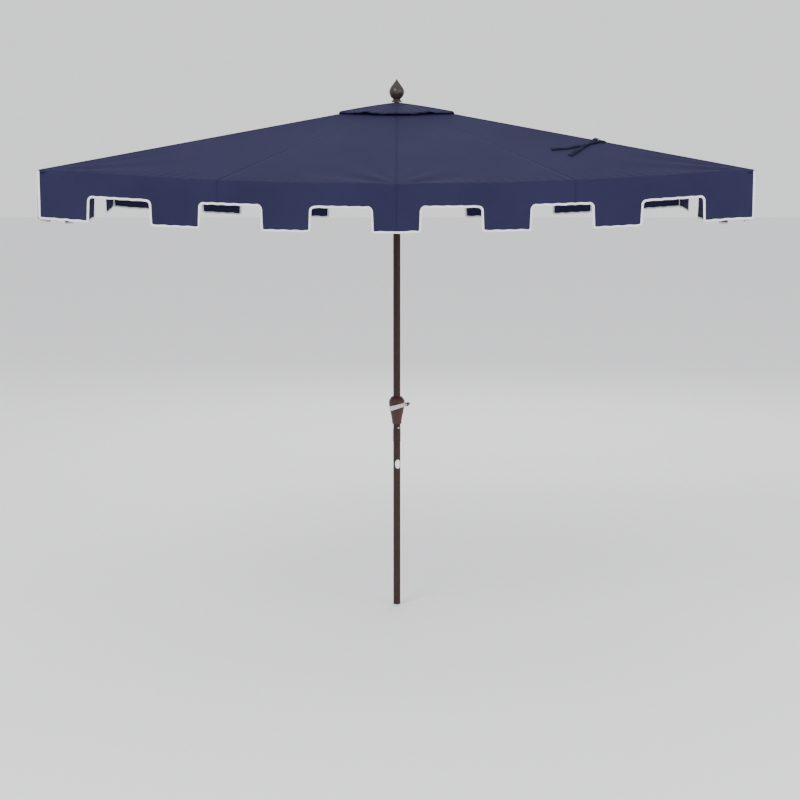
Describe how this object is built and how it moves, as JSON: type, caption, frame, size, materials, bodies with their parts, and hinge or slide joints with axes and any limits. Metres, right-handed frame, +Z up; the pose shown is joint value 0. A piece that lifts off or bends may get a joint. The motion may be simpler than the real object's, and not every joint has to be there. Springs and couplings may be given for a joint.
{
  "type": "patio umbrella",
  "caption": "Rectangular crank-lift market umbrella: two-piece pole with acorn finial, folding ribs and struts on a sliding runner, vented canopy and crenellated valance.",
  "frame": {"origin": "centre of the pole's foot, at its lowest point, where the pole goes down into a base", "axes": "+Z up along the pole, +X along the canopy's long side, -Y towards the side the crank faces"},
  "size_m": [3.05, 1.98, 2.5635],
  "materials": {
    "pole_coat": "satin",
    "rib_coat": "satin",
    "housing_plastic": "satin",
    "hub_plastic": "matte",
    "finial_coat": "satin",
    "canopy_cloth": "matte",
    "strap_cloth": "matte",
    "crank_metal": "satin",
    "knob_plastic": "satin",
    "zinc_steel": "satin",
    "bush_nylon": "matte",
    "plug_plastic": "matte"
  },
  "bodies": {
    "mast": {"foot_plug": "plug_plastic", "lower_pole": "pole_coat", "upper_pole": "pole_coat", "crank_housing_front": "housing_plastic", "crank_housing_rear": "housing_plastic", "housing_screws": "zinc_steel", "button_spring": "zinc_steel", "crown_hub": "hub_plastic", "hub_pins": "zinc_steel", "pulley_pin": "zinc_steel", "finial": "finial_coat", "finial_stud": "zinc_steel"},
    "runner_slider": {"runner": "hub_plastic", "runner_pins": "zinc_steel"},
    "rib_front_left_arm": {"rib_front_left": "rib_coat", "rib_tip_front_left": "hub_plastic", "rib_bracket_front_left": "hub_plastic", "canopy_front_left": "canopy_cloth"},
    "strut_front_left_arm": {"strut_front_left": "rib_coat"},
    "valance_front_left_long_flap": {"valance_front_left_long": "canopy_cloth"},
    "valance_front_left_short_flap": {"valance_front_left_short": "canopy_cloth"},
    "rib_front_mid_arm": {"rib_front_mid": "rib_coat", "rib_tip_front_mid": "hub_plastic", "rib_bracket_front_mid": "hub_plastic", "canopy_front_mid": "canopy_cloth"},
    "strut_front_mid_arm": {"strut_front_mid": "rib_coat"},
    "valance_front_mid_flap": {"valance_front_mid": "canopy_cloth"},
    "rib_front_right_arm": {"rib_front_right": "rib_coat", "rib_tip_front_right": "hub_plastic", "rib_bracket_front_right": "hub_plastic", "canopy_front_right": "canopy_cloth", "tie_strap": "strap_cloth"},
    "strut_front_right_arm": {"strut_front_right": "rib_coat"},
    "valance_front_right_long_flap": {"valance_front_right_long": "canopy_cloth"},
    "valance_front_right_short_flap": {"valance_front_right_short": "canopy_cloth"},
    "rib_rear_right_arm": {"rib_rear_right": "rib_coat", "rib_tip_rear_right": "hub_plastic", "rib_bracket_rear_right": "hub_plastic", "canopy_rear_right": "canopy_cloth"},
    "strut_rear_right_arm": {"strut_rear_right": "rib_coat"},
    "valance_rear_right_long_flap": {"valance_rear_right_long": "canopy_cloth"},
    "valance_rear_right_short_flap": {"valance_rear_right_short": "canopy_cloth"},
    "rib_rear_mid_arm": {"rib_rear_mid": "rib_coat", "rib_tip_rear_mid": "hub_plastic", "rib_bracket_rear_mid": "hub_plastic", "canopy_rear_mid": "canopy_cloth"},
    "strut_rear_mid_arm": {"strut_rear_mid": "rib_coat"},
    "valance_rear_mid_flap": {"valance_rear_mid": "canopy_cloth"},
    "rib_rear_left_arm": {"rib_rear_left": "rib_coat", "rib_tip_rear_left": "hub_plastic", "rib_bracket_rear_left": "hub_plastic", "canopy_rear_left": "canopy_cloth"},
    "strut_rear_left_arm": {"strut_rear_left": "rib_coat"},
    "valance_rear_left_long_flap": {"valance_rear_left_long": "canopy_cloth"},
    "valance_rear_left_short_flap": {"valance_rear_left_short": "canopy_cloth"},
    "crank": {"crank_shaft": "zinc_steel", "crank_arm": "crank_metal"},
    "crank_grip": {"crank_knob": "knob_plastic"},
    "cord_sheave": {"cord_pulley": "bush_nylon"},
    "pole_button": {"snap_button": "zinc_steel"}
  },
  "joints": [
    {"name": "runner_slide", "type": "slide", "parent": "mast", "child": "runner_slider", "axis": [0, 0, -1], "range_m": [0, 0.75]},
    {"name": "rib_fold_front_left", "type": "hinge", "parent": "mast", "child": "rib_front_left_arm", "pos_m": [-0.03188, -0.02068, 2.42], "axis": [0.5442, -0.839, 0], "range_deg": [0, 78.67], "deforming": ["canopy_front_left"]},
    {"name": "strut_fold_front_left", "type": "hinge", "parent": "rib_front_left_arm", "child": "strut_front_left_arm", "pos_m": [-0.50116, -0.32505, 2.30483], "axis": [-0.5442, 0.839, 0], "range_deg": [0, 134.4]},
    {"name": "valance_swing_front_left_long", "type": "hinge", "parent": "rib_front_left_arm", "child": "valance_front_left_long_flap", "pos_m": [-1.5225, -0.9875, 2.137], "axis": [-0.9983, 0, 0.059], "range_deg": [0, 67.98], "deforming": ["valance_front_left_long"]},
    {"name": "valance_swing_front_left_short", "type": "hinge", "parent": "rib_front_left_arm", "child": "valance_front_left_short_flap", "pos_m": [-1.5225, -0.9875, 2.137], "axis": [0, 0.9987, -0.0506], "range_deg": [0, 76.71], "deforming": ["valance_front_left_short"]},
    {"name": "rib_fold_front_mid", "type": "hinge", "parent": "mast", "child": "rib_front_mid_arm", "pos_m": [0, -0.038, 2.42], "axis": [1, 0, 0], "range_deg": [0, 67.49], "deforming": ["canopy_front_mid"]},
    {"name": "strut_fold_front_mid", "type": "hinge", "parent": "rib_front_mid_arm", "child": "strut_front_mid_arm", "pos_m": [0, -0.61073, 2.18116], "axis": [-1, 0, 0], "range_deg": [0, 133.11]},
    {"name": "valance_swing_front_mid", "type": "hinge", "parent": "rib_front_mid_arm", "child": "valance_front_mid_flap", "pos_m": [0, -0.98925, 2.075], "axis": [-1, 0, 0], "range_deg": [0, 67.49], "deforming": ["valance_front_mid"]},
    {"name": "rib_fold_front_right", "type": "hinge", "parent": "mast", "child": "rib_front_right_arm", "pos_m": [0.03188, -0.02068, 2.42], "axis": [0.5442, 0.839, 0], "range_deg": [0, 78.67], "deforming": ["canopy_front_right", "tie_strap"]},
    {"name": "strut_fold_front_right", "type": "hinge", "parent": "rib_front_right_arm", "child": "strut_front_right_arm", "pos_m": [0.50116, -0.32505, 2.30483], "axis": [-0.5442, -0.839, 0], "range_deg": [0, 134.4]},
    {"name": "valance_swing_front_right_long", "type": "hinge", "parent": "rib_front_right_arm", "child": "valance_front_right_long_flap", "pos_m": [1.5225, -0.9875, 2.137], "axis": [-0.9983, 0, -0.059], "range_deg": [0, 67.98], "deforming": ["valance_front_right_long"]},
    {"name": "valance_swing_front_right_short", "type": "hinge", "parent": "rib_front_right_arm", "child": "valance_front_right_short_flap", "pos_m": [1.5225, -0.9875, 2.137], "axis": [0, -0.9987, 0.0506], "range_deg": [0, 76.71], "deforming": ["valance_front_right_short"]},
    {"name": "rib_fold_rear_right", "type": "hinge", "parent": "mast", "child": "rib_rear_right_arm", "pos_m": [0.03188, 0.02068, 2.42], "axis": [-0.5442, 0.839, 0], "range_deg": [0, 78.67], "deforming": ["canopy_rear_right"]},
    {"name": "strut_fold_rear_right", "type": "hinge", "parent": "rib_rear_right_arm", "child": "strut_rear_right_arm", "pos_m": [0.50116, 0.32505, 2.30483], "axis": [0.5442, -0.839, 0], "range_deg": [0, 134.4]},
    {"name": "valance_swing_rear_right_long", "type": "hinge", "parent": "rib_rear_right_arm", "child": "valance_rear_right_long_flap", "pos_m": [1.5225, 0.9875, 2.137], "axis": [0.9983, 0, 0.059], "range_deg": [0, 67.98], "deforming": ["valance_rear_right_long"]},
    {"name": "valance_swing_rear_right_short", "type": "hinge", "parent": "rib_rear_right_arm", "child": "valance_rear_right_short_flap", "pos_m": [1.5225, 0.9875, 2.137], "axis": [0, -0.9987, -0.0506], "range_deg": [0, 76.71], "deforming": ["valance_rear_right_short"]},
    {"name": "rib_fold_rear_mid", "type": "hinge", "parent": "mast", "child": "rib_rear_mid_arm", "pos_m": [0, 0.038, 2.42], "axis": [-1, 0, 0], "range_deg": [0, 67.49], "deforming": ["canopy_rear_mid"]},
    {"name": "strut_fold_rear_mid", "type": "hinge", "parent": "rib_rear_mid_arm", "child": "strut_rear_mid_arm", "pos_m": [0, 0.61073, 2.18116], "axis": [1, 0, 0], "range_deg": [0, 133.11]},
    {"name": "valance_swing_rear_mid", "type": "hinge", "parent": "rib_rear_mid_arm", "child": "valance_rear_mid_flap", "pos_m": [0, 0.98925, 2.075], "axis": [1, 0, 0], "range_deg": [0, 67.49], "deforming": ["valance_rear_mid"]},
    {"name": "rib_fold_rear_left", "type": "hinge", "parent": "mast", "child": "rib_rear_left_arm", "pos_m": [-0.03188, 0.02068, 2.42], "axis": [-0.5442, -0.839, 0], "range_deg": [0, 78.67], "deforming": ["canopy_rear_left"]},
    {"name": "strut_fold_rear_left", "type": "hinge", "parent": "rib_rear_left_arm", "child": "strut_rear_left_arm", "pos_m": [-0.50116, 0.32505, 2.30483], "axis": [0.5442, 0.839, 0], "range_deg": [0, 134.4]},
    {"name": "valance_swing_rear_left_long", "type": "hinge", "parent": "rib_rear_left_arm", "child": "valance_rear_left_long_flap", "pos_m": [-1.5225, 0.9875, 2.137], "axis": [0.9983, 0, -0.059], "range_deg": [0, 67.98], "deforming": ["valance_rear_left_long"]},
    {"name": "valance_swing_rear_left_short", "type": "hinge", "parent": "rib_rear_left_arm", "child": "valance_rear_left_short_flap", "pos_m": [-1.5225, 0.9875, 2.137], "axis": [0, 0.9987, 0.0506], "range_deg": [0, 76.71], "deforming": ["valance_rear_left_short"]},
    {"name": "crank_spin", "type": "hinge", "parent": "mast", "child": "crank", "pos_m": [0, 0, 0.99], "axis": [-0.2924, -0.9563, 0], "range_deg": [0, 5371.48]},
    {"name": "knob_spin", "type": "hinge", "parent": "crank", "child": "crank_grip", "pos_m": [0.05086, -0.12639, 1.01781], "axis": [-0.2924, -0.9563, 0], "continuous": true},
    {"name": "pulley_spin", "type": "hinge", "parent": "mast", "child": "cord_sheave", "pos_m": [0.007, 0, 2.378], "axis": [0, 1, 0], "range_deg": [0, 4297.18]},
    {"name": "button_press", "type": "slide", "parent": "mast", "child": "pole_button", "axis": [-0.4067, 0.9135, 0], "range_m": [0, 0.005], "stiffness_N_per_m": 900, "springref_m": -0.003, "deforming": ["button_spring"]}
  ],
  "couplings": [
    {"joint": "rib_fold_front_left", "follows": "runner_slide", "rad_per_m": 1.8308},
    {"joint": "strut_fold_front_left", "follows": "runner_slide", "rad_per_m": 3.1277},
    {"joint": "valance_swing_front_left_long", "follows": "runner_slide", "rad_per_m": 1.5821},
    {"joint": "valance_swing_front_left_short", "follows": "runner_slide", "rad_per_m": 1.7852},
    {"joint": "rib_fold_front_mid", "follows": "runner_slide", "rad_per_m": 1.5707},
    {"joint": "strut_fold_front_mid", "follows": "runner_slide", "rad_per_m": 3.0977},
    {"joint": "valance_swing_front_mid", "follows": "runner_slide", "rad_per_m": 1.5707},
    {"joint": "rib_fold_front_right", "follows": "runner_slide", "rad_per_m": 1.8308},
    {"joint": "strut_fold_front_right", "follows": "runner_slide", "rad_per_m": 3.1277},
    {"joint": "valance_swing_front_right_long", "follows": "runner_slide", "rad_per_m": 1.5821},
    {"joint": "valance_swing_front_right_short", "follows": "runner_slide", "rad_per_m": 1.7852},
    {"joint": "rib_fold_rear_right", "follows": "runner_slide", "rad_per_m": 1.8308},
    {"joint": "strut_fold_rear_right", "follows": "runner_slide", "rad_per_m": 3.1277},
    {"joint": "valance_swing_rear_right_long", "follows": "runner_slide", "rad_per_m": 1.5821},
    {"joint": "valance_swing_rear_right_short", "follows": "runner_slide", "rad_per_m": 1.7852},
    {"joint": "rib_fold_rear_mid", "follows": "runner_slide", "rad_per_m": 1.5707},
    {"joint": "strut_fold_rear_mid", "follows": "runner_slide", "rad_per_m": 3.0977},
    {"joint": "valance_swing_rear_mid", "follows": "runner_slide", "rad_per_m": 1.5707},
    {"joint": "rib_fold_rear_left", "follows": "runner_slide", "rad_per_m": 1.8308},
    {"joint": "strut_fold_rear_left", "follows": "runner_slide", "rad_per_m": 3.1277},
    {"joint": "valance_swing_rear_left_long", "follows": "runner_slide", "rad_per_m": 1.5821},
    {"joint": "valance_swing_rear_left_short", "follows": "runner_slide", "rad_per_m": 1.7852},
    {"joint": "crank_spin", "follows": "runner_slide", "rad_per_m": 125},
    {"joint": "pulley_spin", "follows": "runner_slide", "rad_per_m": 100}
  ]
}
